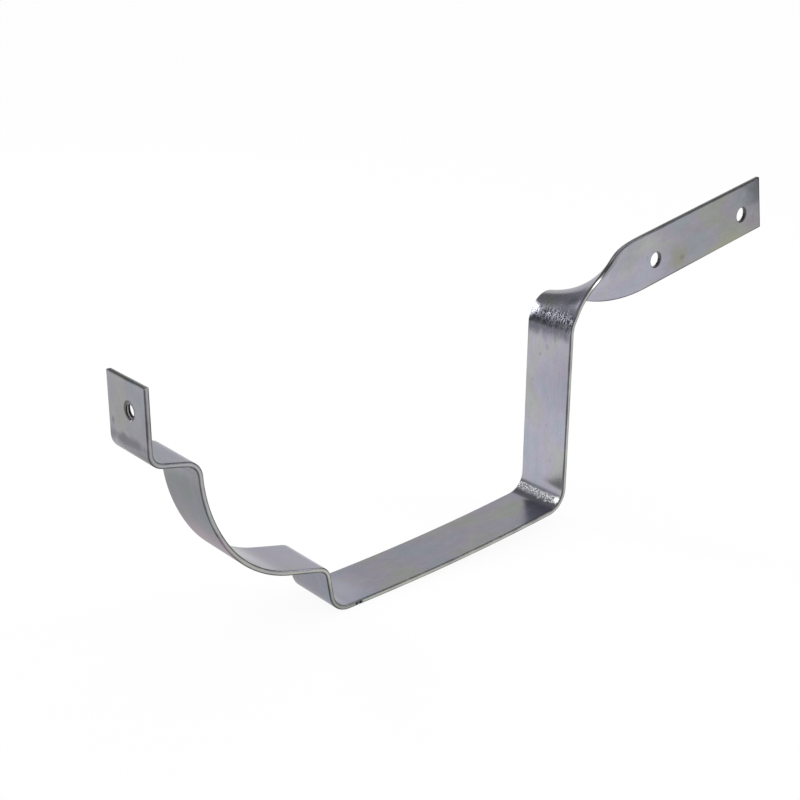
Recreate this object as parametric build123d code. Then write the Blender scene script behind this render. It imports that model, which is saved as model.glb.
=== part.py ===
from build123d import *
import os
from math import cos, radians, sin

# A gutter bracket: one flat steel strip, bent crosswise to the outline of a gutter with a coved
# front, and twisted a quarter turn into an arm that is fixed to the side of a rafter.
# Lengths are millimetres and angles are degrees. +X runs from the gutter's front to the rafter,
# +Z is up, and the strip's middle runs along X and Z alone until the twist.
# The origin is midway between the arm's two holes, on the face that lies against the rafter.

# The strip, which is rolled, so its four long corners are eased
strip_width = 25.0
strip_thickness = 2.0
corner_chamfer = 0.3
end_chamfer = 0.2

# The angle at which each stretch runs, counted up from level, from the tab's top to the arm's end
tab_angle = -90.0
shelf_angle = -11.6
cove_top_angle = -87.0
cove_middle_angle = -57.5
ledge_angle = -14.0
riser_angle = -80.7
sole_front_angle = 1.0
sole_back_angle = 6.1
leg_angle = 90.0
lean_angle = 60.0
arm_angle = 10.8

# Straight stretches
tab_length = 23.4
shelf_length = 9.5
ledge_length = 14.0
riser_length = 9.1
sole_front_length = 16.3
leg_length = 69.7
arm_length = 83.0

# Bends, by the radius on their hollow side
tab_bend = 4.5
shelf_bend = 5.4
cove_upper_bend = 60.7
cove_lower_bend = 43.3
ledge_bend = 4.3
riser_bend = 7.3
sole_bow = 1052.0
leg_bend = 8.6
top_bend = 10.0

# The quarter twist, which brings the near edge up and takes up the rest of the top bend
twist_run = 52.7
twist_rise = 13.8
twist_drift = 1.4
twist_turn = -90.0
lead_in_share = 0.29
lead_out_share = 0.71
ease_in_share = 0.24
ease_out_share = 0.465
twist_sections = 18

# The tapped hole in the tab, at the thread's outer diameter, with countersunk rims
tab_hole_diameter = 6.0
tab_hole_from_top = 10.8
tab_hole_from_middle = 1.9
tab_hole_rim = 0.5

# The two plain holes in the arm, with their punched rims broken
arm_hole_diameter = 6.6
arm_hole_spacing = 60.7
arm_hole_from_end = 13.8
arm_hole_below_middle = 1.5
arm_hole_rim = 0.3

overrun = 1.0

near_side = Vector(0, -1, 0)


def heading(angle):
    """The unit vector at an angle in the plane of the bends."""
    return Vector(cos(radians(angle)), 0, sin(radians(angle)))


def strip_section(middle, across, along):
    """The strip's cross-section, with its width laid along the vector across."""
    outline = chamfer(Rectangle(strip_width, strip_thickness).vertices(), corner_chamfer)
    return Plane(origin=middle, x_dir=across, z_dir=along) * outline


def bend_line():
    """The strip's middle line from the tab's top to the start of the twist."""
    stretches = [
        (tab_length, tab_angle, tab_bend),
        (shelf_length, shelf_angle, shelf_bend),
        (0, cove_top_angle, cove_upper_bend),
        (0, cove_middle_angle, cove_lower_bend),
        (ledge_length, ledge_angle, ledge_bend),
        (riser_length, riser_angle, riser_bend),
        (sole_front_length, sole_front_angle, sole_bow),
        (0, sole_back_angle, leg_bend),
        (leg_length, leg_angle, top_bend),
    ]
    angles = [angle for _, angle, _ in stretches] + [lean_angle]
    edges = []
    end = Vector(0, 0, 0)
    for (length, angle, bend), next_angle in zip(stretches, angles[1:]):
        if length:
            edges.append(PolarLine(end, length, angle))
            end = edges[-1] @ 1
        tangent = (cos(radians(angle)), sin(radians(angle)))
        edges.append(JernArc(end, tangent, bend + strip_thickness / 2, next_angle - angle))
        end = edges[-1] @ 1
    return Plane.XZ * Wire(edges)


def twist_line(start, lean):
    """The strip's middle line through the twist: a smooth curve from the top bend to the arm."""
    end = start + Vector(twist_run, 0, twist_rise) + near_side * twist_drift
    reach = (end - start).length
    lead_in = start + lean * (reach * lead_in_share)
    lead_out = end - heading(arm_angle) * (reach * lead_out_share)
    return Bezier(start, lead_in, lead_out, end)


def twist_angle(share):
    """How far the strip has turned after a share of the twist: it eases in and out of a steady rate."""
    steady = 1 - ease_in_share / 2 - ease_out_share / 2
    if share < ease_in_share:
        turned = share**2 / (2 * ease_in_share)
    elif share > 1 - ease_out_share:
        turned = steady - (1 - share) ** 2 / (2 * ease_out_share)
    else:
        turned = share - ease_in_share / 2
    return twist_turn * turned / steady


def twisted_stretch(line):
    """The strip from the top bend to the arm, lofted through sections that turn about its middle."""
    sections = []
    for step in range(twist_sections + 1):
        share = step / twist_sections
        along = line % share
        level = near_side - along * along.dot(near_side)
        across = level.normalized().rotate(Axis((0, 0, 0), along), twist_angle(share))
        sections.append(strip_section(line @ share, across, along))
    return loft(sections)


def straight_arm(start, along):
    """The flat blade that lies on the rafter."""
    across = along.cross(near_side)
    return extrude(strip_section(start, across, along), amount=arm_length)


def hole_cutter(diameter, rim):
    """A cutter for a through hole whose rims are chamfered on both faces."""
    half = strip_thickness / 2
    bore = Cylinder(diameter / 2, strip_thickness + 2 * overrun)
    wide = diameter / 2 + rim + overrun
    cone = Cone(diameter / 2, wide, rim + overrun, align=(Align.CENTER, Align.CENTER, Align.MIN))
    outer_rim = Pos(0, 0, half - rim) * cone
    return bore + outer_rim + mirror(outer_rim, about=Plane.XY)


def tab_hole(start, along):
    """The cutter of the tab's hole, where the tab's top is at start."""
    face = Plane(origin=start, x_dir=near_side, z_dir=along.cross(near_side))
    below_top = Pos(tab_hole_from_middle, -tab_hole_from_top, 0)
    return face * below_top * hole_cutter(tab_hole_diameter, tab_hole_rim)


def arm_face(end, along):
    """The plane through the arm's middle, seen from the near side, with its origin at the arm's end."""
    return Plane(origin=end, x_dir=along, z_dir=near_side)


def arm_holes(face):
    """The cutters of the arm's two holes."""
    places = [arm_hole_from_end, arm_hole_from_end + arm_hole_spacing]
    cutter = hole_cutter(arm_hole_diameter, arm_hole_rim)
    return [face * Pos(-place, -arm_hole_below_middle, 0) * cutter for place in places]


def chamfer_ends(strip, ends):
    """Breaks the sheared edges of the strip's two ends."""
    for point in ends:
        end_face = strip.faces().sort_by_distance(point)[0]
        strip = chamfer(end_face.edges(), end_chamfer)
    return strip


def gutter_bracket():
    flat_line = bend_line()
    flat_start, flat_end = flat_line @ 0, flat_line @ 1
    twisting = twist_line(flat_end, flat_line % 1)
    arm_start, along_arm = twisting @ 1, heading(arm_angle)
    arm_end = arm_start + along_arm * arm_length

    strip = sweep(strip_section(flat_start, near_side, flat_line % 0), path=flat_line)
    strip = strip + twisted_stretch(twisting) + straight_arm(arm_start, along_arm)
    strip = chamfer_ends(strip, [flat_start, arm_end])

    face = arm_face(arm_end, along_arm)
    strip = strip - tab_hole(flat_start, flat_line % 0) - arm_holes(face)

    holes_middle = face * Pos(-arm_hole_from_end - arm_hole_spacing / 2, -arm_hole_below_middle,
                              -strip_thickness / 2)
    return Pos(holes_middle.position * -1) * strip


os.makedirs("parts", exist_ok=True)
export_step(gutter_bracket(), "parts/gutter_bracket.step")
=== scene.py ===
import bpy
import math
from mathutils import Matrix, Vector


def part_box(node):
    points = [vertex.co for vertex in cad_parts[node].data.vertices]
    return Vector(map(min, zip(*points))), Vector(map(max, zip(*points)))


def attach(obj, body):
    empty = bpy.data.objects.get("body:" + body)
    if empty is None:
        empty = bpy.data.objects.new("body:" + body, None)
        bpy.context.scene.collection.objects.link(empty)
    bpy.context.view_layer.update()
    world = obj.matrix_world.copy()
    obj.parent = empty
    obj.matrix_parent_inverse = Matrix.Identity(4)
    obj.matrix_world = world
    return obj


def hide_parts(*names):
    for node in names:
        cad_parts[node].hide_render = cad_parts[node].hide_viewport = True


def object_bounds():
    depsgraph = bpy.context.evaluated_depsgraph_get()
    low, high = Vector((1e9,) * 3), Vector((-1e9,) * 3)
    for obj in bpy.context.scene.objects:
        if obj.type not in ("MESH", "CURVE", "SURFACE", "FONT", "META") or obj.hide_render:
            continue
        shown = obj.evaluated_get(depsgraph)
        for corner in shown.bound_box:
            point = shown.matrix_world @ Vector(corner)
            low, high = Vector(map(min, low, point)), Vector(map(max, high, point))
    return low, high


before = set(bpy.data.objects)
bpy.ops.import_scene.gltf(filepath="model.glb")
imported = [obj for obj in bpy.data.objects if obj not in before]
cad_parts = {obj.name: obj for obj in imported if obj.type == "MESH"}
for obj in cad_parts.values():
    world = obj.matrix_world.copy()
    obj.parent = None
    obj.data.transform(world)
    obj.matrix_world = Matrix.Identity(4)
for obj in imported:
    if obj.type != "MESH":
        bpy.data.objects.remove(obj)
cadLow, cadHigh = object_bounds()
mm = 0.001  # lengths below are millimetres, and this makes them Blender's metres
hair = mm / 1000  # two places nearer to each other than this count as one

# +X runs from the gutter's front to the rafter, +Z is up, and the near side is -Y.

# The camera stands where the photograph's did.
cameraSetup = {
    "place": (-504.264, -387.412, 157.453),
    "azimuth": -40.277,
    "elevation": 20.976,
    "roll": 0.357,
    "lens": 63.0,
    "sensor": 36.0,
    "clipStart": 10.0,
}


def addCamera(setup):
    azimuth = math.radians(setup["azimuth"])
    elevation = math.radians(setup["elevation"])
    right = Vector((math.cos(azimuth), math.sin(azimuth), 0))
    level = Vector((math.sin(azimuth), -math.cos(azimuth), 0))
    back = level * math.cos(elevation) + Vector((0, 0, math.sin(elevation)))
    aim = Matrix((right, back.cross(right), back)).transposed().to_4x4()
    roll = Matrix.Rotation(math.radians(setup["roll"]), 4, "Z")
    bpy.ops.object.camera_add()
    camera = bpy.context.object
    camera.matrix_world = Matrix.Translation(Vector(setup["place"]) * mm) @ aim @ roll
    camera.data.lens = setup["lens"]
    camera.data.sensor_width = setup["sensor"]
    camera.data.clip_start = setup["clipStart"] * mm
    bpy.context.scene.camera = camera
    print("camera placed")


addCamera(cameraSetup)


def activate(item):
    bpy.ops.object.select_all(action="DESELECT")
    item.select_set(True)
    bpy.context.view_layer.objects.active = item


def applyModifier(item, kind, **settings):
    activate(item)
    modifier = item.modifiers.new(kind.title(), kind)
    for name, value in settings.items():
        setattr(modifier, name, value)
    bpy.ops.object.modifier_apply(modifier=modifier.name)


def pick(item, mode, test):
    # Selects what passes the test, in edit mode: edges as their two ends, the rest by itself.
    bpy.ops.mesh.select_mode(type=mode)
    bpy.ops.mesh.select_all(action="DESELECT")
    bpy.ops.object.mode_set(mode="OBJECT")
    mesh = item.data
    if mode == "EDGE":
        for edge in mesh.edges:
            start, end = (mesh.vertices[index].co for index in edge.vertices)
            edge.select = test(start, end)
    elif mode == "FACE":
        for face in mesh.polygons:
            face.select = test(face.center, face.normal)
    else:
        for vertex in mesh.vertices:
            vertex.select = test(vertex.co)
    bpy.ops.object.mode_set(mode="EDIT")


def runsAlong(axis, shortest):
    # A test for edges that run along an axis and are at least this long.
    def test(start, end):
        way = end - start
        nearlyAll = 0.999 * way.length
        return way.length > shortest and abs(way[axis]) > nearlyAll
    return test


# The bend line: the middle of the strip's thickness and width, from the tab's top to the arm's end
bendLine = {
    # a straight run, the angle at which it climbs, and the hollow radius of the bend that ends it
    "bends": [
        (23.4, -90.0, 4.5),  # tab
        (9.5, -11.6, 5.4),  # shelf
        (0, -87.0, 60.7),  # upper cove
        (0, -57.5, 43.3),  # lower cove
        (14.0, -14.0, 4.3),  # ledge
        (9.1, -80.7, 7.3),  # riser
        (16.3, 1.0, 1052.0),  # front of the sole, and its bow
        (0, 6.1, 8.6),  # back of the sole
        (69.7, 90.0, 10.0),  # leg
    ],
    "leanAngle": 60.0,  # the angle at which the top bend hands over to the twist
    "twist": (52.7, -1.4, 13.8),  # from the twist's start to its end
    "leadInShare": 0.29,
    "leadOutShare": 0.71,
    "armAngle": 10.8,
    "armLength": 83.0,
    "twistTurn": -90.0,
    "easeInShare": 0.24,
    "easeOutShare": 0.465,
    # a small roll that comes in early in the twist and makes up for its drift to the near side
    "driftRoll": -2.0,
    "driftRollEase": 4,
    "levelTilt": 90.0,
    "stepsPerKnot": 32,
}

strip = {
    "width": 25.0,
    "thickness": 2.0,
    "edgeRound": 0.5,
    "edgeSegments": 4,
    "endRound": 0.2,
    "endSegments": 2,
    "rows": 480,
    "coarseRows": 8,  # it is cut into this many rows first, and then each of them into its share
    "columns": 44,
    # stretches that carry marks, as from, to and how many rows each row there becomes
    "fineRows": [(154, 167, 4), (266, 278, 5), (348, 362, 4)],
    "smoothAngle": 30.0,
}

arm = {
    "hole": 6.6,
    "holeSpacing": 60.7,
    "holeFromEnd": 13.8,
    "holeBelowMiddle": 1.5,
    "rim": 0.3,
}

tab = {
    "hole": 6.0,
    "holeFromTop": 10.8,
    "holeFromMiddle": 1.9,
    "rim": 0.5,
}

punching = {
    "sides": 64,
    "rimRound": 0.6,  # how far a rim's corner is rounded, as a share of the rim
    "rimSegments": 3,
    "endNormal": 0.9,  # how squarely a face of the cutter looks up or down where it is an end
}


def heading(angle):
    return Vector((math.cos(math.radians(angle)), 0, math.sin(math.radians(angle))))


def bendKnots(line):
    # Each knot is its place, and how far its handles reach back and forward.
    place = Vector((0, 0, 0))
    knots = [[place, Vector(), Vector()]]
    angles = [angle for _, angle, _ in line["bends"]] + [line["leanAngle"]]
    for (run, angle, bend), nextAngle in zip(line["bends"], angles[1:]):
        if run:
            reach = heading(angle) * run / 3
            knots[-1][2] = reach
            place = place + heading(angle) * run
            knots.append([place, -reach, Vector()])
        turn = math.radians(nextAngle - angle)
        radius = (bend + strip["thickness"] / 2) * math.copysign(1, turn)
        handle = abs(4 / 3 * math.tan(turn / 4) * radius)
        knots[-1][2] = heading(angle) * handle
        place = place + (heading(nextAngle - 90) - heading(angle - 90)) * radius
        knots.append([place, -heading(nextAngle) * handle, Vector()])
    twist = Vector(line["twist"])
    reach = twist.length
    knots[-1][2] = heading(line["leanAngle"]) * reach * line["leadInShare"]
    place = place + twist
    leadOut = heading(line["armAngle"]) * reach * line["leadOutShare"]
    knots.append([place, -leadOut, Vector()])
    reach = heading(line["armAngle"]) * line["armLength"] / 3
    knots[-1][2] = reach
    knots.append([place + reach * 3, -reach, Vector()])
    return knots


def turnedAt(share, line):
    # How far the strip has turned after a share of the twist: it eases in and out of a steady rate.
    easeIn, easeOut = line["easeInShare"], line["easeOutShare"]
    steady = 1 - easeIn / 2 - easeOut / 2
    if share < easeIn:
        turned = share**2 / (2 * easeIn)
    elif share > 1 - easeOut:
        turned = steady - (1 - share) ** 2 / (2 * easeOut)
    else:
        turned = share - easeIn / 2
    return turned / steady


def drawBendLine(line):
    knots = bendKnots(line)
    bpy.ops.object.select_all(action="DESELECT")
    bpy.ops.curve.primitive_bezier_curve_add()
    curve = bpy.context.object
    curve.name = "bend_line"
    spline = curve.data.splines[0]
    spline.bezier_points.add(len(knots) - len(spline.bezier_points))
    for point, (place, backward, forward) in zip(spline.bezier_points, knots):
        point.handle_left_type = point.handle_right_type = "FREE"
        point.co = place * mm
        point.handle_left = (place + backward) * mm
        point.handle_right = (place + forward) * mm
    curve.data.resolution_u = line["stepsPerKnot"]
    curve.data.twist_mode = "MINIMUM"

    # As a line of plain points, each can carry its own tilt.
    bpy.ops.object.convert(target="MESH")
    bpy.ops.object.convert(target="CURVE")
    points = curve.data.splines[0].points
    along = [0.0]
    for before, after in zip(points[:-1], points[1:]):
        along.append(along[-1] + (after.co.xyz - before.co.xyz).length)
    starts = len(points) - 1 - 2 * line["stepsPerKnot"]
    ends = len(points) - 1 - line["stepsPerKnot"]
    for index, point in enumerate(points):
        share = (along[index] - along[starts]) / (along[ends] - along[starts])
        share = min(max(share, 0), 1)
        roll = line["driftRoll"] * (1 - (1 - share) ** line["driftRollEase"])
        turn = line["twistTurn"] * turnedAt(share, line) + roll
        point.tilt = math.radians(line["levelTilt"] + turn)
    print("bend line drawn,", round(along[-1] / mm, 2), "mm long")
    return curve, along[-1] / mm


def addBar(shape, length):
    # A flat bar, cut to length: X runs along it from the tab's end, and Z points out of the face that
    # becomes the sole's upper side.
    bpy.ops.object.select_all(action="DESELECT")
    bpy.ops.mesh.primitive_cube_add(size=1, location=(length * mm / 2, 0, 0))
    bar = bpy.context.object
    bar.name = "zinc_strip"
    bar.scale = (length * mm, shape["width"] * mm, shape["thickness"] * mm)
    bpy.ops.object.transform_apply(location=True, rotation=True, scale=True)

    bpy.ops.object.mode_set(mode="EDIT")
    pick(bar, "EDGE", runsAlong(0, length * mm / 2))
    bpy.ops.mesh.bevel(offset=shape["edgeRound"] * mm, segments=shape["edgeSegments"], affect="EDGES")
    pick(bar, "EDGE", lambda start, end: abs(start.x - end.x) < hair)
    bpy.ops.mesh.bevel(offset=shape["endRound"] * mm, segments=shape["endSegments"], affect="EDGES")
    pick(bar, "EDGE", runsAlong(0, length * mm / 2))
    bpy.ops.mesh.subdivide(number_cuts=shape["coarseRows"] - 1)
    pick(bar, "EDGE", runsAlong(0, length * mm / shape["coarseRows"] / 2))
    bpy.ops.mesh.subdivide(number_cuts=shape["rows"] // shape["coarseRows"] - 1)
    along = runsAlong(0, 0)
    for start, end, parts in shape["fineRows"]:
        pick(bar, "EDGE", lambda one, two: along(one, two) and start * mm < (one.x + two.x) / 2 < end * mm)
        bpy.ops.mesh.subdivide(number_cuts=parts - 1)
    pick(bar, "EDGE", runsAlong(1, shape["width"] * mm / 2))
    bpy.ops.mesh.subdivide(number_cuts=shape["columns"] - 1)
    bpy.ops.object.mode_set(mode="OBJECT")
    print("bar cut,", len(bar.data.polygons), "faces")
    return bar


def addPunch(diameter, rim, place, slope=1.0):
    # A cutter for a hole through the bar, flared from a rim's depth below each face. The slope is how
    # much its radius grows for each millimetre on the way out.
    half = strip["thickness"] / 2
    bpy.ops.object.select_all(action="DESELECT")
    bpy.ops.mesh.primitive_cylinder_add(
        vertices=punching["sides"], radius=diameter / 2 * mm, depth=2 * (half - rim) * mm,
        location=Vector(place) * mm,
    )
    punch = bpy.context.object
    bpy.ops.object.transform_apply(location=True, rotation=True, scale=True)
    flare = rim + half
    wider = (diameter / 2 + flare * slope) / (diameter / 2)
    bpy.ops.object.mode_set(mode="EDIT")
    endNormal = punching["endNormal"]
    for side in (1, -1):
        pick(punch, "FACE", lambda centre, normal: centre.z * side > 0 and normal.z * side > endNormal)
        bpy.ops.mesh.extrude_region_move(TRANSFORM_OT_translate={"value": (0, 0, side * flare * mm)})
        bpy.ops.transform.resize(
            value=(wider, wider, 1), center_override=(place[0] * mm, place[1] * mm, 0)
        )
    nearMiddle = (half - rim / 2) * mm
    pick(punch, "EDGE", lambda start, end: abs(start.z) < nearMiddle and abs(start.z - end.z) < hair)
    bpy.ops.mesh.bevel(
        offset=rim * punching["rimRound"] * mm, segments=punching["rimSegments"], affect="EDGES"
    )
    bpy.ops.object.mode_set(mode="OBJECT")
    return punch


def punchHoles(bar, length):
    places = [(tab["hole"], tab["rim"], (tab["holeFromTop"], -tab["holeFromMiddle"], 0))]
    for fromEnd in (arm["holeFromEnd"], arm["holeFromEnd"] + arm["holeSpacing"]):
        places.append((arm["hole"], arm["rim"], (length - fromEnd, arm["holeBelowMiddle"], 0)))
    for diameter, rim, place in places:
        punch = addPunch(diameter, rim, place)
        applyModifier(bar, "BOOLEAN", operation="DIFFERENCE", object=punch, solver="EXACT")
        bpy.data.objects.remove(punch)
    print("holes punched")


def storeFlatPlace(item):
    # Where each point lay in the flat strip, so that the rolling lines follow every bend.
    places = [0.0] * len(item.data.vertices) * 3
    item.data.vertices.foreach_get("co", places)
    flat = item.data.attributes.new("flatPlace", "FLOAT_VECTOR", "POINT")
    flat.data.foreach_set("vector", places)


def bendToShape(item, line, shift=None):
    applyModifier(item, "CURVE", object=line, deform_axis="POS_X")
    if shift is None:
        low = Vector(map(min, *(vertex.co for vertex in item.data.vertices)))
        high = Vector(map(max, *(vertex.co for vertex in item.data.vertices)))
        boxLow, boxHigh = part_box("gutter_bracket")
        shift = (boxLow + boxHigh - low - high) / 2
        print("box off by", [round(value / mm, 3) for value in (boxHigh - boxLow) - (high - low)])
    item.data.transform(Matrix.Translation(shift))
    return shift


# What the press and the handling left on the strip, as places along it and across it from its middle
marks = {
    # where the punch that folded the leg up bruised the hollow of the bend: the noise goes as deep as
    # this, with lumps of this grain, and its level is the shade of it that stays in place
    "footBruise": {"from": 269.6, "to": 274.2, "soft": 0.5, "depth": 0.16, "grain": 1.1, "level": 0.6},
    # fine scoring where the top bend was drawn over the die
    "bendScore": {"from": 350.6, "to": 357.6, "soft": 0.5, "depth": 0.05, "grain": 0.7, "level": 0.6},
    # the far corner of the top bend is pressed down a little
    "bendDroop": {"along": 354.6, "across": 12.2, "drop": 0.35, "reach": 5.0},
    # a gouge in the near edge of the sole, with the metal pushed up at its ends, which lie at this share
    # of its length from its middle
    "nick": {"along": 159.9, "across": -12.75, "height": -0.05, "size": (2.3, 1.0, 1.5),
             "burr": 0.16, "burrShare": 0.6, "burrReach": 0.9},
}


def rampBetween(value, low, high, soft):
    # 1 between low and high, falling to 0 over the soft width outside them.
    outside = max(low - value, value - high, 0) / soft
    return max(0, 1 - outside)


def roughen(bar, name, mark):
    # Pushes the sole's upper side about where the mark is, and leaves the rest of the strip alone.
    group = bar.vertex_groups.new(name=name)
    half = strip["thickness"] / 2 * mm
    for vertex in bar.data.vertices:
        if vertex.co.z > half - hair:
            weight = rampBetween(vertex.co.x / mm, mark["from"], mark["to"], mark["soft"])
            if weight:
                group.add([vertex.index], weight, "REPLACE")
    texture = bpy.data.textures.new(name, "CLOUDS")
    texture.noise_scale = mark["grain"] * mm
    applyModifier(bar, "DISPLACE", texture=texture, vertex_group=name, direction="Z",
                  texture_coords="LOCAL", strength=mark["depth"] * mm, mid_level=mark["level"])
    bar.vertex_groups.remove(bar.vertex_groups[name])


def pullNear(bar, place, move, reach):
    # Moves the point nearest to a place, and takes its surroundings along ever less.
    target = Vector(place) * mm
    nearest = min(bar.data.vertices, key=lambda vertex: (vertex.co - target).length).co.copy()
    bpy.ops.object.mode_set(mode="EDIT")
    pick(bar, "VERT", lambda place: (place - nearest).length < hair)
    bpy.ops.transform.translate(
        value=Vector(move) * mm, use_proportional_edit=True, proportional_edit_falloff="SMOOTH",
        proportional_size=reach * mm, use_proportional_connected=True,
    )
    bpy.ops.object.mode_set(mode="OBJECT")


def cutNick(bar, nick):
    bpy.ops.object.select_all(action="DESELECT")
    bpy.ops.mesh.primitive_ico_sphere_add(
        subdivisions=3, radius=0.5,
        location=Vector((nick["along"], nick["across"], nick["height"])) * mm,
    )
    gouge = bpy.context.object
    gouge.scale = Vector(nick["size"]) * mm
    bpy.ops.object.transform_apply(location=True, rotation=True, scale=True)
    applyModifier(bar, "BOOLEAN", operation="DIFFERENCE", object=gouge, solver="EXACT")
    bpy.data.objects.remove(gouge)
    print("nick cut")


def markStrip(bar):
    activate(bar)
    for name in ("footBruise", "bendScore"):
        roughen(bar, name, marks[name])
    droop = marks["bendDroop"]
    for height in (strip["thickness"] / 2, -strip["thickness"] / 2):
        pullNear(bar, (droop["along"], droop["across"], height), (0, 0, -droop["drop"]), droop["reach"])
    nick = marks["nick"]
    for side in (-1, 1):
        end = nick["along"] + side * nick["size"][0] * nick["burrShare"]
        pullNear(bar, (end, nick["across"], nick["height"]), (0, -nick["burr"], 0), nick["burrReach"])
    print("marks pressed in")


thread = {
    "minor": 4.9,
    "pitch": 1.0,
    "turns": 2.6,
    "rootHeight": 0.92,
    "crestHeight": 0.14,
    "foot": 0.5,  # how far its square foot reaches into the metal, past the thread's outer diameter
    "crestHalf": 0.82,  # how far from the middle the crest runs before its ends are led out
    "leadSlope": 6.0,  # the slope of the cutter that leads them out
    "leadClearance": 0.05,  # and how much narrower than the crests its straight middle is
    "steps": 64,  # to a turn
    "endSides": 8,  # the ends of the ridge have at most this many sides
}


def addThread():
    # The screw thread in the tab's hole: a V on a square foot, wound up as a helix, with its ends led out.
    crest, root = thread["minor"] / 2, tab["hole"] / 2
    foot = root + thread["foot"]
    start = -thread["pitch"] * thread["turns"] / 2
    bpy.ops.object.select_all(action="DESELECT")
    bpy.ops.mesh.primitive_plane_add(
        size=1, rotation=(math.radians(90), 0, 0), location=((root + foot) / 2 * mm, 0, start * mm)
    )
    ridge = bpy.context.object
    ridge.name = "tab_thread"
    ridge.scale = ((foot - root) * mm, thread["rootHeight"] * mm, 1)
    bpy.ops.object.transform_apply(location=True, rotation=True, scale=True)
    bpy.ops.object.mode_set(mode="EDIT")
    pick(ridge, "EDGE", lambda first, last: max(first.x, last.x) < (root + foot) / 2 * mm)
    bpy.ops.mesh.extrude_region_move(TRANSFORM_OT_translate={"value": ((crest - root) * mm, 0, 0)})
    bpy.ops.transform.resize(
        value=(1, 1, thread["crestHeight"] / thread["rootHeight"]), center_override=(0, 0, start * mm)
    )
    pick(ridge, "EDGE", lambda *ends: all(abs(end.x - root * mm) < hair for end in ends))
    bpy.ops.mesh.dissolve_edges(use_verts=False)
    bpy.ops.object.mode_set(mode="OBJECT")
    turned = round(thread["steps"] * thread["turns"])
    applyModifier(ridge, "SCREW", angle=math.radians(360) * thread["turns"], axis="Z", iterations=1,
                  screw_offset=thread["pitch"] * thread["turns"] * mm, steps=turned, render_steps=turned)
    bpy.ops.object.mode_set(mode="EDIT")
    bpy.ops.mesh.select_all(action="SELECT")
    bpy.ops.mesh.remove_doubles(threshold=hair)
    bpy.ops.mesh.select_mode(type="EDGE")
    bpy.ops.mesh.select_all(action="DESELECT")
    bpy.ops.mesh.select_non_manifold()
    bpy.ops.mesh.fill_holes(sides=thread["endSides"])
    bpy.ops.mesh.select_all(action="SELECT")
    bpy.ops.mesh.normals_make_consistent(inside=False)
    bpy.ops.object.mode_set(mode="OBJECT")
    leadOut = addPunch(
        thread["minor"] - thread["leadClearance"], strip["thickness"] / 2 - thread["crestHalf"],
        (0, 0, 0), thread["leadSlope"],
    )
    applyModifier(ridge, "BOOLEAN", operation="DIFFERENCE", object=leadOut, solver="EXACT")
    bpy.data.objects.remove(leadOut)
    hole = Vector((tab["holeFromTop"], -tab["holeFromMiddle"], 0)) * mm
    ridge.data.transform(Matrix.Translation(hole))
    print("thread cut,", len(ridge.data.polygons), "faces")
    return ridge


line, stripLength = drawBendLine(bendLine)
bracket = addBar(strip, stripLength)
punchHoles(bracket, stripLength)
cutNick(bracket, marks["nick"])
storeFlatPlace(bracket)
markStrip(bracket)
tabThread = addThread()
storeFlatPlace(tabThread)
toPlace = bendToShape(bracket, line)
bendToShape(tabThread, line, toPlace)
bpy.data.objects.remove(line)
for piece in (bracket, tabThread):
    activate(piece)
    bpy.ops.object.shade_smooth_by_angle(angle=math.radians(strip["smoothAngle"]))
    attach(piece, "root")
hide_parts("gutter_bracket")


def linear(hexColour):
    # Turns an sRGB hex colour to the linear values that the shaders take.
    channels = [int(hexColour[place:place + 2], 16) / 255 for place in (1, 3, 5)]
    return tuple(
        value / 12.92 if value <= 0.04045 else ((value + 0.055) / 1.055) ** 2.4 for value in channels
    ) + (1.0,)


def addNode(tree, kind, inputs=None, **settings):
    # Adds a node with its settings. Each of its inputs is a value, or another node's output to link.
    item = tree.nodes.new(kind)
    for name, value in settings.items():
        setattr(item, name, value)
    for socket, value in (inputs or {}).items():
        if isinstance(value, bpy.types.NodeSocket):
            tree.links.new(value, item.inputs[socket])
        else:
            item.inputs[socket].default_value = value
    return item


# Bright zinc electroplate on rolled strip: a satin blue-white metal, with soft clouds where the plating
# is thicker and faint lines along the rolling, and with painted shade in its corners and painted light on
# its edge faces.
zinc = {
    "name": "zinc_electroplate_on_rolled_steel",
    "dull": "#9b9b9e",
    "bright": "#adadb3",
    "green": "#e6e9e0",
    "lavender": "#e9e3ef",
    "blue": "#dfe6ee",
    "hueStops": (0.38, 0.5, 0.62),  # where these three hues lie in the clouds
    # the dark of the dirt specks, and of the painted shade in the corners and round the holes
    "dirtAndShade": "#38383b",
    # the painted light on the edge faces
    "edge": "#b6b7ae",
    "roughness": 0.24,
    "roughnessVaries": 0.1,
    "cloudSize": 16.0,
    "cloudStretch": 1.5,
    "cloudDetail": 3.0,
    "blotchSize": 4.5,
    "blotchStrength": 0.85,
    "lineSpacing": 0.45,  # the rolling lines are finer than a pixel, so they are drawn this coarse
    "lineLength": 45.0,
    "lineStrength": 0.2,
    "lineFloor": 1.16,
    "grainSize": 0.7,  # and so is the plating's grain
    "grainStrength": 0.16,
    "grainFloor": 0.92,
    "grainRelief": 0.6,
    "reliefHeight": 0.005,
    "dirtSize": 1.3,
    "dirtStretch": 2.0,
    "dirtRange": (0.68, 0.76),
    "dirtStrength": 0.25,
}

# Painted light and shade along the strip, for how bright each stretch mirrors the room around it: the
# place from the tab's end, and the share of the way from dull to bright
lightAndShadeAlong = [
    (0, -0.3), (24, -0.5), (35, 0.4), (60, 0.2), (80, -0.3), (105, -0.2), (115, 0.3), (138, 0.9),
    (158, 0.9), (180, 0.2), (262, 0.2), (283, 1.0), (370, 1.0), (388, 0.7), (411, 0.5), (440, -0.3),
    (470, -0.5), (494, -0.7),
]
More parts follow.
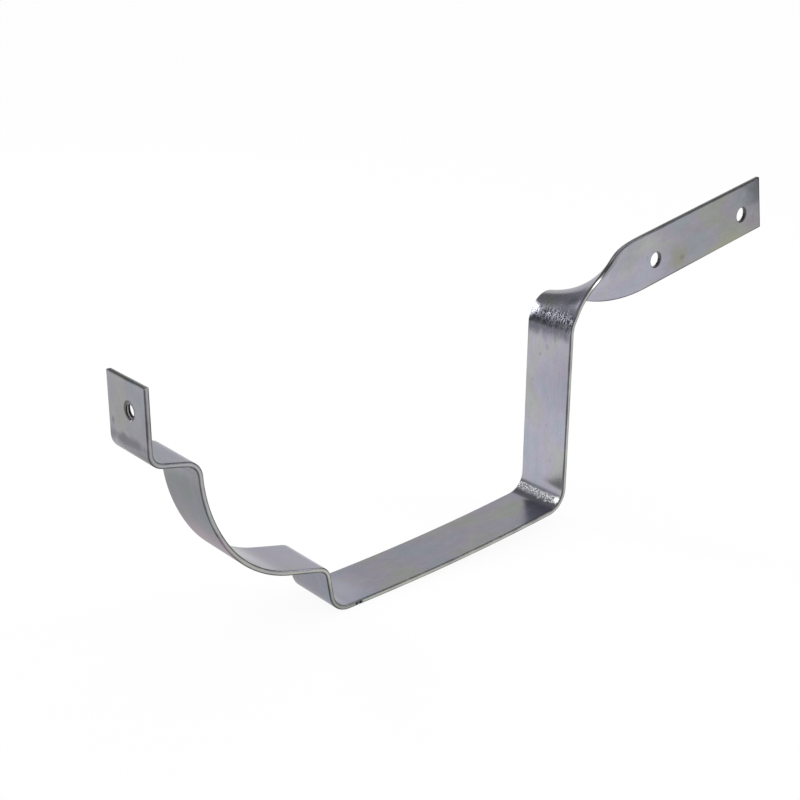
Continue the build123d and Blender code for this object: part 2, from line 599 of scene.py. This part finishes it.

# Painted light on the strip's edge faces, and painted shade in the corners between them and its faces.
# A ramp is a stretch of the strip along which one value gives way to the next.
edges = {
    "lightDepth": 0.15,  # how far in from the rim the painted light reaches
    "lightShare": 0.8,
    "endLightShare": 0.25,  # and this little at both ends of the strip
    "coveRamp": (20, 150),
    "armRamp": (370, 390),
    "cornerWidth": 0.49,  # how far from the corner the painted shade reaches
    "cornerSoft": 0.35,
    "cornerStrength": 0.85,
    "cornerFlatter": 0.75,  # only this share of a depth below the face counts, so the dark goes deeper
    "cornerRagged": 0.5,
    "armWider": 0.3,  # how much wider the painted shade is on the arm, where the dark line is broadest
    "frontNarrower": 0.03,  # how much narrower it is from the tab to the riser
    "frontRamp": (150, 160),
    "endNarrower": 0.25,  # how much narrower again on the sheared ends, by the distance from them
    "endRamp": (0.1, 0.35),
}

# Scuffed bands across the strip, on the face that is the sole's upper side. Their dark and light are partly
# the scuffing's own and partly painted: painted shade among the scratches, and painted glints on the rubbed
# metal.
scuffsAndGlints = {
    "foot": {"from": 270.4, "to": 274.3, "soft": 0.4, "ragged": 2.4, "grain": 0.8, "stretch": 1.6,
             "dark": "#66666c", "light": "#d2d2d6", "roughness": 0.42, "depth": 0.04},
    "topBend": {"from": 350.0, "to": 357.5, "soft": 2.5, "ragged": 2.0, "grain": 0.6, "stretch": 8.0,
                "dark": "#4f4f5b", "light": "#e6e8f4", "roughness": 0.25, "depth": 0.015},
}

# What all scuffs share: how far down the face they reach, how much finer than the grain the scratches
# are, the angle at which these run, and the range of the noise that goes from dark to light
scuffing = {
    "reach": 0.3,
    "scratchShare": 0.6,
    "scratchAngle": 50.0,
    "rubbedRange": (0.5, 0.7),
}

# Rings of painted shade in and round the holes: the place along and across, the inner and outer radius
holeShadeRings = [
    (tab["holeFromTop"], -tab["holeFromMiddle"], 2.7, 3.5),
    (stripLength - arm["holeFromEnd"], arm["holeBelowMiddle"], 0.0, 3.65),
    (stripLength - arm["holeFromEnd"] - arm["holeSpacing"], arm["holeBelowMiddle"], 0.0, 3.65),
]

# How dark the painted shade of the rings is, and how their borders lie about the radii
ringLook = {
    "strength": 0.8,
    "outerBorder": (-0.15, 0.3),
    "innerBorder": (-0.2, 0.1),
}

# Stains, smudges and blooms of the plating, and painted shade at the bends, on the twist and at the arm's
# end, painted shadow in the pits of the nick and painted highlights on the dents of the foot. Each is the
# place along and across the strip, the length and width, the face as 1 for the sole's upper side, -1 for the
# other and 0 for the edge's middle, the colour and its strength
stainsAndPaintedLight = {
    "tab smudge": (17.2, 9.6, 2.6, 1.6, -1, "#6d6a74", 0.75),
    # painted shade where the tab bends into the shelf
    "painted shade at the tab's foot": (22.4, 0.0, 3.2, 18.0, -1, "#5e5d66", 0.75),
    "blue-green bloom of the upper cove": (58.0, 0.0, 12.0, 14.0, -1, "#949ca0", 0.6),
    "violet bloom of the lower cove": (82.0, 0.0, 12.0, 24.0, -1, "#a994a4", 0.9),
    "lavender bloom of the ledge": (117.0, 0.0, 22.0, 24.0, 1, "#a8a4b5", 0.7),
    "front of the sole": (157.5, 0.0, 12.0, 16.0, 1, "#b9bccb", 0.75),
    # painted shadow in the two pits of the nick
    "painted shadow in the first pit of the nick": (159.0, -12.4, 1.2, 1.3, 0, "#0c0c0c", 1.0),
    "painted shadow in the second pit of the nick": (160.8, -12.4, 1.5, 1.3, 0, "#0c0c0c", 1.0),
    # painted highlights on the dents of the foot
    "painted highlight on the first dent of the foot": (270.2, -1.5, 1.0, 1.0, 1, "#ffffff", 1.0),
    "painted highlight on the second dent of the foot": (270.2, -5.7, 1.0, 1.0, 1, "#ffffff", 1.0),
    "painted highlight on the third dent of the foot": (272.9, -10.5, 2.2, 2.0, 1, "#ffffff", 1.0),
    "leg mark": (336.7, 4.5, 1.1, 0.8, 1, "#8a8a94", 0.6),
    "second leg mark": (340.7, 0.7, 1.6, 1.6, 1, "#8f8f9a", 0.4),
    # painted shade under the top bend
    "painted shade under the top bend": (349.6, 6.0, 6.5, 34.0, 1, "#555561", 0.75),
    # painted shade on the near side of the top bend
    "painted shade on the near side of the top bend": (359.8, -8.0, 6.0, 9.0, 1, "#66666f", 0.7),
    # painted shade across the top of the twist
    "painted shade on the top of the twist": (396.0, -10.0, 22.0, 13.0, -1, "#94949e", 0.75),
    "arm stain": (437.7, 6.8, 2.6, 1.8, -1, "#5f5d49", 0.8),
    "arm stain's cloud": (435.5, 5.0, 10.0, 7.0, -1, "#8e8e7d", 0.7),
    "arm's lower edge": (468.0, 12.5, 34.0, 6.0, -1, "#9a9b84", 0.6),
    # painted shade at the arm's end
    "painted shade at the arm's end": (496.0, -8.0, 20.0, 16.0, -1, "#5c5c60", 0.7),
}
# Where each patch starts to fade and where it ends, in shares of its size with the blotches added
patchBorder = (0.7, 1.5)


def addPattern(tree, place, size, stretch=1.0, detail=2.0, shift=0.0, turn=0.0):
    # Soft noise with patches about this many millimetres across, and longer along the strip by the
    # stretch. The shift moves it, so that two patterns don't run together.
    stretched = addNode(tree, "ShaderNodeMapping", {
        "Vector": place, "Location": (shift, shift, shift), "Rotation": (0, 0, turn),
        "Scale": (1 / size / stretch, 1 / size, 1 / size),
    })
    return addNode(tree, "ShaderNodeTexNoise", {
        "Vector": stretched.outputs[0], "Scale": 1.0, "Detail": detail,
    }).outputs[0]


def measureFlat(tree):
    # Places in the flat strip, in millimetres, and the blotches that make the borders on it ragged
    stored = addNode(tree, "ShaderNodeAttribute", attribute_name="flatPlace")
    place = addNode(tree, "ShaderNodeVectorMath", {0: stored.outputs["Vector"], "Scale": 1 / mm},
                    operation="SCALE").outputs[0]
    along, across, height = addNode(tree, "ShaderNodeSeparateXYZ", {0: place}).outputs
    blotches = addPattern(tree, place, zinc["blotchSize"], zinc["cloudStretch"], zinc["cloudDetail"], 3.7)
    return {"place": place, "along": along, "across": across, "height": height, "blotches": blotches}


def measureFrom(tree, place, spot, scale):
    # How far each place lies from a spot, with each direction scaled
    offset = addNode(tree, "ShaderNodeVectorMath", {0: place, 1: spot}, operation="SUBTRACT")
    scaled = addNode(tree, "ShaderNodeVectorMath", {0: offset.outputs[0], 1: scale}, operation="MULTIPLY")
    return addNode(tree, "ShaderNodeVectorMath", {0: scaled.outputs[0]}, operation="LENGTH").outputs["Value"]


def measureInward(tree, half, value):
    # How far in from the strip's outer faces each place lies, where the value is 0 at its middle
    outward = addNode(tree, "ShaderNodeMath", {0: value}, operation="ABSOLUTE")
    return addNode(tree, "ShaderNodeMath", {0: half, 1: outward.outputs[0]}, operation="SUBTRACT").outputs[0]


def blotchedAndShadedMetal(tree, flat):
    # Painted light and shade along the strip, and the plating's own brightness in the blotches
    share = addNode(tree, "ShaderNodeMath", {0: flat["along"], 1: stripLength}, operation="DIVIDE")
    tone = addNode(tree, "ShaderNodeFloatCurve", {"Value": share.outputs[0]})
    curve = tone.mapping.curves[0]
    for index, (where, level) in enumerate(lightAndShadeAlong):
        # The curve runs from 0 to 1, and the levels from -1 to 1.
        spot = (where / stripLength, 0.5 + level / 2)
        if index < 2:
            curve.points[index].location = spot
        else:
            curve.points.new(*spot)
    tone.mapping.update()
    level = addNode(tree, "ShaderNodeMath", {
        0: tone.outputs[0], 1: 2.0, 2: -1.0 - zinc["blotchStrength"] / 2,
    }, operation="MULTIPLY_ADD")
    level = addNode(tree, "ShaderNodeMath", {
        0: flat["blotches"], 1: zinc["blotchStrength"], 2: level.outputs[0],
    }, operation="MULTIPLY_ADD")
    return addNode(tree, "ShaderNodeMix", {
        0: level.outputs[0], 6: linear(zinc["dull"]), 7: linear(zinc["bright"]),
    }, data_type="RGBA", clamp_factor=False).outputs[2]


def filmOver(tree, metal, clouds):
    # The metal under the plating film, with the film's faint hues
    hue = addNode(tree, "ShaderNodeValToRGB", {0: clouds})
    first, middle, last = zinc["hueStops"]
    hue.color_ramp.elements[0].position = first
    hue.color_ramp.elements[0].color = linear(zinc["green"])
    hue.color_ramp.elements[1].position = last
    hue.color_ramp.elements[1].color = linear(zinc["blue"])
    hue.color_ramp.elements.new(middle).color = linear(zinc["lavender"])
    return addNode(tree, "ShaderNodeMix", {0: 1.0, 6: metal, 7: hue.outputs[0]},
                   data_type="RGBA", blend_type="MULTIPLY").outputs[2]


def scuffShares(tree, flat, scuff):
    # Where a scuffed band lies, with ragged sides, and where in it the metal is rubbed bright, partly as
    # painted glints
    middle, half = (scuff["from"] + scuff["to"]) / 2, (scuff["to"] - scuff["from"]) / 2
    ragged = addNode(tree, "ShaderNodeMath", {
        0: flat["blotches"], 1: scuff["ragged"], 2: -scuff["ragged"] / 2 - middle,
    }, operation="MULTIPLY_ADD")
    reach = addNode(tree, "ShaderNodeMath", {0: flat["along"], 1: ragged.outputs[0]})
    reach = addNode(tree, "ShaderNodeMath", {0: reach.outputs[0]}, operation="ABSOLUTE")
    band = addNode(tree, "ShaderNodeMapRange", {
        "Value": reach.outputs[0], "From Min": half - scuff["soft"], "From Max": half + scuff["soft"],
        "To Min": 1.0, "To Max": 0.0,
    })
    upper = addNode(tree, "ShaderNodeMath", {
        0: flat["height"], 1: strip["thickness"] / 2 - scuffing["reach"],
    }, operation="GREATER_THAN")
    band = addNode(tree, "ShaderNodeMath", {0: band.outputs[0], 1: upper.outputs[0]}, operation="MULTIPLY")
    patches = addPattern(tree, flat["place"], scuff["grain"], detail=1.0, shift=7.0)
    scratches = addPattern(
        tree, flat["place"], scuff["grain"] * scuffing["scratchShare"], scuff["stretch"], detail=0.0,
        turn=math.radians(scuffing["scratchAngle"]),
    )
    rubbed = addNode(tree, "ShaderNodeMath", {0: patches, 1: scratches}, operation="MAXIMUM")
    low, high = scuffing["rubbedRange"]
    rubbed = addNode(tree, "ShaderNodeMapRange", {
        "Value": rubbed.outputs[0], "From Min": low, "From Max": high,
    })
    return band.outputs[0], rubbed.outputs[0]


def dirtShare(tree, flat):
    # Small dark specks of dirt
    specks = addPattern(tree, flat["place"], zinc["dirtSize"], zinc["dirtStretch"], shift=23.0)
    low, high = zinc["dirtRange"]
    return addNode(tree, "ShaderNodeMapRange", {
        "Value": specks, "From Min": low, "From Max": high, "To Max": zinc["dirtStrength"],
    }).outputs[0]


def paintedEdgeLightAndShade(tree, flat):
    # How much painted light the edge faces get, and how much painted shade the corners get
    fromSide = measureInward(tree, strip["width"] / 2, flat["across"])
    fromFace = measureInward(tree, strip["thickness"] / 2, flat["height"])
    toEnd = addNode(tree, "ShaderNodeMath", {0: stripLength, 1: flat["along"]}, operation="SUBTRACT")
    fromEnd = addNode(tree, "ShaderNodeMath", {
        0: flat["along"], 1: toEnd.outputs[0],
    }, operation="MINIMUM").outputs[0]
    fromRim = addNode(tree, "ShaderNodeMath", {0: fromSide, 1: fromEnd}, operation="MINIMUM").outputs[0]
    low, high = edges["armRamp"]
    onArm = addNode(tree, "ShaderNodeMapRange", {
        "Value": flat["along"], "From Min": low, "From Max": high,
    }).outputs[0]

    low, high = edges["coveRamp"]
    share = addNode(tree, "ShaderNodeMapRange", {
        "Value": flat["along"], "From Min": low, "From Max": high,
        "To Min": edges["endLightShare"], "To Max": edges["lightShare"],
    })
    share = addNode(tree, "ShaderNodeMix", {0: onArm, 2: share.outputs[0], 3: edges["endLightShare"]})
    onRim = addNode(tree, "ShaderNodeMath", {0: fromRim, 1: edges["lightDepth"]}, operation="LESS_THAN")
    light = addNode(tree, "ShaderNodeMath", {0: onRim.outputs[0], 1: share.outputs[0]}, operation="MULTIPLY")

    corner = addNode(tree, "ShaderNodeCombineXYZ", {0: fromRim, 1: fromFace})
    reach = measureFrom(tree, corner.outputs[0], (0, 0, 0), (1, edges["cornerFlatter"], 0))
    reach = addNode(tree, "ShaderNodeMath", {
        0: flat["blotches"], 1: edges["cornerRagged"], 2: reach,
    }, operation="MULTIPLY_ADD")
    reach = addNode(tree, "ShaderNodeMath", {
        0: onArm, 1: -edges["armWider"], 2: reach.outputs[0],
    }, operation="MULTIPLY_ADD")
    for where, (low, high), narrower in (
        (flat["along"], edges["frontRamp"], edges["frontNarrower"]),
        (fromEnd, edges["endRamp"], edges["endNarrower"]),
    ):
        less = addNode(tree, "ShaderNodeMapRange", {
            "Value": where, "From Min": low, "From Max": high, "To Min": narrower, "To Max": 0.0,
        })
        reach = addNode(tree, "ShaderNodeMath", {0: reach.outputs[0], 1: less.outputs[0]})
    dark = addNode(tree, "ShaderNodeMapRange", {
        "Value": reach.outputs[0], "From Min": edges["cornerWidth"],
        "From Max": edges["cornerWidth"] + edges["cornerSoft"],
        "To Min": edges["cornerStrength"], "To Max": 0.0,
    })
    return light.outputs[0], dark.outputs[0]


def ringShare(tree, flat, ring):
    where, side, inner, outer = ring
    reach = measureFrom(tree, flat["place"], (where, side, 0), (1, 1, 0))
    low, high = ringLook["outerBorder"]
    within = addNode(tree, "ShaderNodeMapRange", {
        "Value": reach, "From Min": outer + low, "From Max": outer + high,
        "To Min": ringLook["strength"], "To Max": 0.0,
    })
    low, high = ringLook["innerBorder"]
    beyond = addNode(tree, "ShaderNodeMapRange", {
        "Value": reach, "From Min": inner + low, "From Max": inner + high,
    })
    return addNode(tree, "ShaderNodeMath", {
        0: within.outputs[0], 1: beyond.outputs[0],
    }, operation="MULTIPLY").outputs[0]


def patchShare(tree, flat, where, side, length, width, face, strength):
    spot = (where, side, face * strip["thickness"] / 2)
    reach = measureFrom(tree, flat["place"], spot, (1 / length, 1 / width, 1.0))
    ragged = addNode(tree, "ShaderNodeMath", {0: flat["blotches"], 1: reach})
    low, high = patchBorder
    return addNode(tree, "ShaderNodeMapRange", {
        "Value": ragged.outputs[0], "From Min": low, "From Max": high, "To Min": strength, "To Max": 0.0,
    }, interpolation_type="SMOOTHSTEP").outputs[0]


def platingMaterial():
    material = bpy.data.materials.new(zinc["name"])
    material.use_nodes = True
    tree = material.node_tree
    shader = tree.nodes["Principled BSDF"]
    shader.inputs["Metallic"].default_value = 1.0
    flat = measureFlat(tree)
    clouds = addPattern(tree, flat["place"], zinc["cloudSize"], zinc["cloudStretch"], zinc["cloudDetail"])
    lines = addPattern(tree, flat["place"], zinc["lineSpacing"], zinc["lineLength"] / zinc["lineSpacing"])
    grain = addPattern(tree, flat["place"], zinc["grainSize"], shift=11.0)

    # The plated metal, with painted light and shade along it, and its rolling lines and grain
    film = filmOver(tree, blotchedAndShadedMetal(tree, flat), clouds)
    streaks = addNode(tree, "ShaderNodeMath", {
        0: lines, 1: zinc["lineStrength"], 2: zinc["lineFloor"],
    }, operation="MULTIPLY_ADD")
    specks = addNode(tree, "ShaderNodeMath", {
        0: grain, 1: zinc["grainStrength"], 2: zinc["grainFloor"],
    }, operation="MULTIPLY_ADD")
    fine = addNode(tree, "ShaderNodeMath", {
        0: streaks.outputs[0], 1: specks.outputs[0],
    }, operation="MULTIPLY")
    colour = addNode(tree, "ShaderNodeVectorMath", {0: film, "Scale": fine.outputs[0]},
                     operation="SCALE").outputs[0]
    varies = zinc["roughnessVaries"]
    rough = addNode(tree, "ShaderNodeMath", {0: lines, 1: varies, 2: zinc["roughness"] - varies},
                    operation="MULTIPLY_ADD")
    rough = addNode(tree, "ShaderNodeMath", {0: clouds, 1: varies, 2: rough.outputs[0]},
                    operation="MULTIPLY_ADD").outputs[0]
    relief = addNode(tree, "ShaderNodeMath", {0: grain, 1: zinc["grainRelief"], 2: lines},
                     operation="MULTIPLY_ADD")
    relief = addNode(tree, "ShaderNodeMath", {0: relief.outputs[0], 1: zinc["reliefHeight"]},
                     operation="MULTIPLY").outputs[0]

    # What lies over it, from the bottom up, each as how much it covers and its colour
    layers = []
    for scuff in scuffsAndGlints.values():
        band, rubbed = scuffShares(tree, flat, scuff)
        scuffed = addNode(tree, "ShaderNodeMix", {
            0: rubbed, 6: linear(scuff["dark"]), 7: linear(scuff["light"]),
        }, data_type="RGBA")
        layers.append((band, scuffed.outputs[2]))
        rough = addNode(tree, "ShaderNodeMix", {0: band, 2: rough, 3: scuff["roughness"]}).outputs[0]
        lumps = addNode(tree, "ShaderNodeMath", {0: band, 1: rubbed}, operation="MULTIPLY")
        relief = addNode(tree, "ShaderNodeMath", {0: lumps.outputs[0], 1: scuff["depth"], 2: relief},
                         operation="MULTIPLY_ADD").outputs[0]
    dirtAndShade = linear(zinc["dirtAndShade"])
    # painted light on the edge faces and painted shade in their corners
    light, dark = paintedEdgeLightAndShade(tree, flat)
    layers += [(dirtShare(tree, flat), dirtAndShade), (light, linear(zinc["edge"])), (dark, dirtAndShade)]
    # painted shade in and round the holes
    layers += [(ringShare(tree, flat, ring), dirtAndShade) for ring in holeShadeRings]
    for where, side, length, width, face, tint, strength in stainsAndPaintedLight.values():
        layers.append((patchShare(tree, flat, where, side, length, width, face, strength), linear(tint)))
    for share, tint in layers:
        colour = addNode(tree, "ShaderNodeMix", {0: share, 6: colour, 7: tint}, data_type="RGBA").outputs[2]

    bump = addNode(tree, "ShaderNodeBump", {"Height": relief, "Strength": 1.0, "Distance": mm})
    tree.links.new(colour, shader.inputs["Base Color"])
    tree.links.new(rough, shader.inputs["Roughness"])
    tree.links.new(bump.outputs[0], shader.inputs["Normal"])
    print("zinc mixed")
    return material


zincPlate = platingMaterial()
for piece in (bracket, tabThread):
    piece.data.materials.append(zincPlate)


# The studio: a white floor, white all round, and cards and lamps, by where they stand from the bracket.
# The cards stand in for the photographer's room, and only what mirrors them sees them; the floor card is a
# painted shadow, a grey sheet for the bracket's shadow on the floor round it.
studio = {
    "floorSize": 8000,
    "paper": "#f2f2f2",
    "paperRoughness": 0.9,
    "shadowShare": 0.08,  # how much of the floor's look is left to its light and shadow
    "fill": 0.95,  # how bright the white all round is as a light
    # each card's middle, the direction it faces as round from +X and up, its width, height and grey
    "cards": {
        "back_card": ((-197, 212, 95), -43, 0, 231, 328, 0.2),
        "top_card": ((-165, 290, 330), -72, -45, 600, 330, 0.2),
        "side_card": ((230, 400, 150), -130, -25, 620, 580, 0.76),
        "front_card": ((230, -260, 330), 130, -48, 600, 330, 0.12),
        "arm_card": ((300, -70, 60), 155, 0, 180, 190, 0.1),
        # painted shadow: a grey sheet that the metal mirrors in place of the bracket's shadow on the floor
        "floor_shadow_card": ((-285, 45, -110.9), 0, 90, 160, 160, 0.62),
    },
    # each lamp's middle, the direction it shines, its size and its power in watts
    "lamps": {
        "edge_lamp": ((460, -650, 330), 130, -22, 260, 1.6),
        "bend_lamp": ((-413, 794, 273), -68, -18, 170, 2.4),
    },
}


def whiteSeen(tree):
    # White where the camera looks, and in what the metal shows.
    rays = addNode(tree, "ShaderNodeLightPath")
    mirrored = addNode(tree, "ShaderNodeMath", {
        0: rays.outputs["Is Glossy Ray"], 1: rays.outputs["Is Transmission Ray"],
    })
    return addNode(tree, "ShaderNodeMath", {0: rays.outputs["Is Camera Ray"], 1: mirrored.outputs[0]},
                   use_clamp=True).outputs[0]


def addFloor(setup):
    bpy.ops.object.select_all(action="DESELECT")
    bpy.ops.mesh.primitive_plane_add(size=setup["floorSize"] * mm, location=(0, 0, cadLow.z))
    floor = bpy.context.object
    floor.name = "floor"
    material = bpy.data.materials.new("white_paper_sweep")
    material.use_nodes = True
    tree = material.node_tree
    shader = tree.nodes["Principled BSDF"]
    shader.inputs["Base Color"].default_value = linear(setup["paper"])
    shader.inputs["Roughness"].default_value = setup["paperRoughness"]
    shader.inputs["Specular IOR Level"].default_value = 0.0
    glow = addNode(tree, "ShaderNodeEmission", {"Strength": 1.0})
    share = addNode(tree, "ShaderNodeMapRange", {
        "Value": whiteSeen(tree), "To Max": 1 - setup["shadowShare"],
    })
    mix = addNode(tree, "ShaderNodeMixShader", {
        0: share.outputs[0], 1: shader.outputs[0], 2: glow.outputs[0],
    })
    tree.links.new(mix.outputs[0], tree.nodes["Material Output"].inputs["Surface"])
    floor.data.materials.append(material)
    print("floor laid")


def addWorld(setup):
    world = bpy.data.worlds.new("studio")
    bpy.context.scene.world = world
    world.use_nodes = True
    tree = world.node_tree
    level = addNode(tree, "ShaderNodeMapRange", {"Value": whiteSeen(tree), "To Min": setup["fill"]})
    tree.nodes["Background"].inputs["Color"].default_value = (1, 1, 1, 1)
    tree.links.new(level.outputs[0], tree.nodes["Background"].inputs["Strength"])
    print("world lit")


def aimAt(item, place, around, upward):
    # Stands a card or lamp at a place, facing the way given.
    around, upward = math.radians(around), math.radians(upward)
    level = math.cos(upward)
    faces = Vector((math.cos(around) * level, math.sin(around) * level, math.sin(upward)))
    item.location = Vector(place) * mm
    item.rotation_euler = faces.to_track_quat("-Z", "Y").to_euler()


def addCards(cards):
    for name, (place, around, upward, width, height, level) in cards.items():
        bpy.ops.object.select_all(action="DESELECT")
        bpy.ops.mesh.primitive_plane_add(size=1)
        card = bpy.context.object
        card.name = name
        card.scale = (width * mm, height * mm, 1)
        aimAt(card, place, around, upward)
        material = bpy.data.materials.new(name)
        material.use_nodes = True
        tree = material.node_tree
        grey = addNode(tree, "ShaderNodeEmission", {"Color": (level, level, level, 1)})
        tree.links.new(grey.outputs[0], tree.nodes["Material Output"].inputs["Surface"])
        card.data.materials.append(material)
        card.visible_camera = False
        card.visible_diffuse = False
        card.visible_shadow = False
    print("cards set up")


def addLamps(lamps):
    for name, (place, around, upward, size, power) in lamps.items():
        bpy.ops.object.light_add(type="AREA")
        lamp = bpy.context.object
        lamp.name = name
        lamp.data.size = size * mm
        lamp.data.energy = power
        aimAt(lamp, place, around, upward)
    print("lamps set up")


addFloor(studio)
addWorld(studio)
addCards(studio["cards"])
addLamps(studio["lamps"])
bpy.context.scene.view_settings.view_transform = "Standard"
